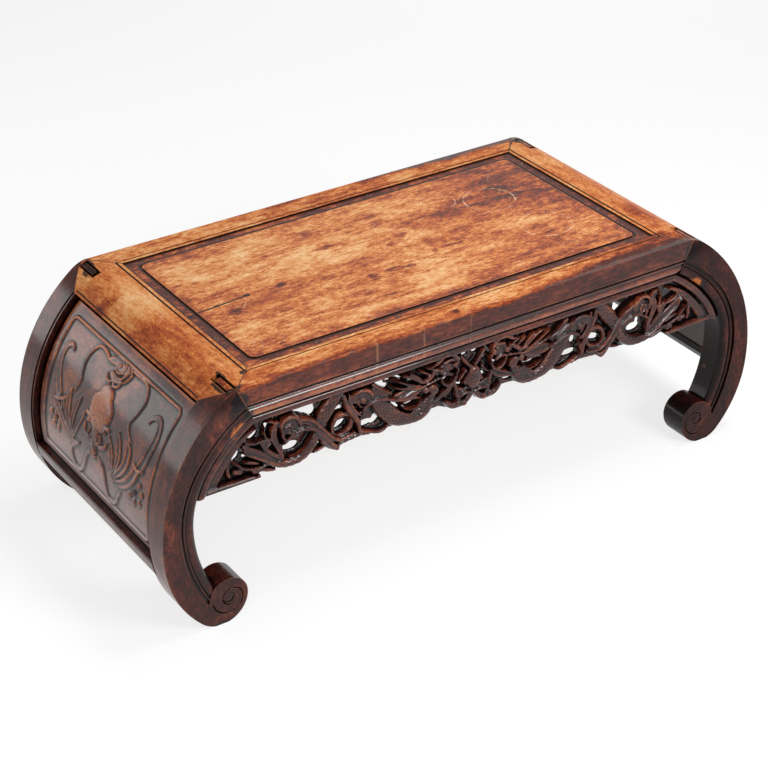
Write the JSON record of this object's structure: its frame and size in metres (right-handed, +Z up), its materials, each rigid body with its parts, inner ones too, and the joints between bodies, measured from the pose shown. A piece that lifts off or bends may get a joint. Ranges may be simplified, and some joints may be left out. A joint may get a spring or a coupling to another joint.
{
  "type": "kang table",
  "caption": "Low rectangular wooden table with a framed top, curled legs with scroll feet, curved carved end panels and pierced carved aprons.",
  "frame": {"origin": "centre of the footprint on the floor", "axes": "+X along the long side to the right end, +Y from the front apron to the back apron, +Z up"},
  "size_m": [0.891, 0.397, 0.315],
  "materials": {
    "frame_wood": "satin",
    "panel_wood": "satin",
    "leg_wood": "polished",
    "carved_wood": "polished",
    "inner_wood": "matte"
  },
  "bodies": {
    "root": {"front_long_rail": "frame_wood", "back_long_rail": "frame_wood", "left_end_rail": "frame_wood", "right_end_rail": "frame_wood", "top_panel": "panel_wood", "front_left_leg": "leg_wood", "front_right_leg": "leg_wood", "back_left_leg": "leg_wood", "back_right_leg": "leg_wood", "left_end_panel": "carved_wood", "right_end_panel": "carved_wood", "left_lower_rail": "leg_wood", "right_lower_rail": "leg_wood", "front_apron": "carved_wood", "back_apron": "carved_wood", "left_batten": "inner_wood", "centre_batten": "inner_wood", "right_batten": "inner_wood", "tenon_wedges": "inner_wood", "lower_rail_pegs": "inner_wood", "apron_pegs": "inner_wood"}
  },
  "joints": []
}
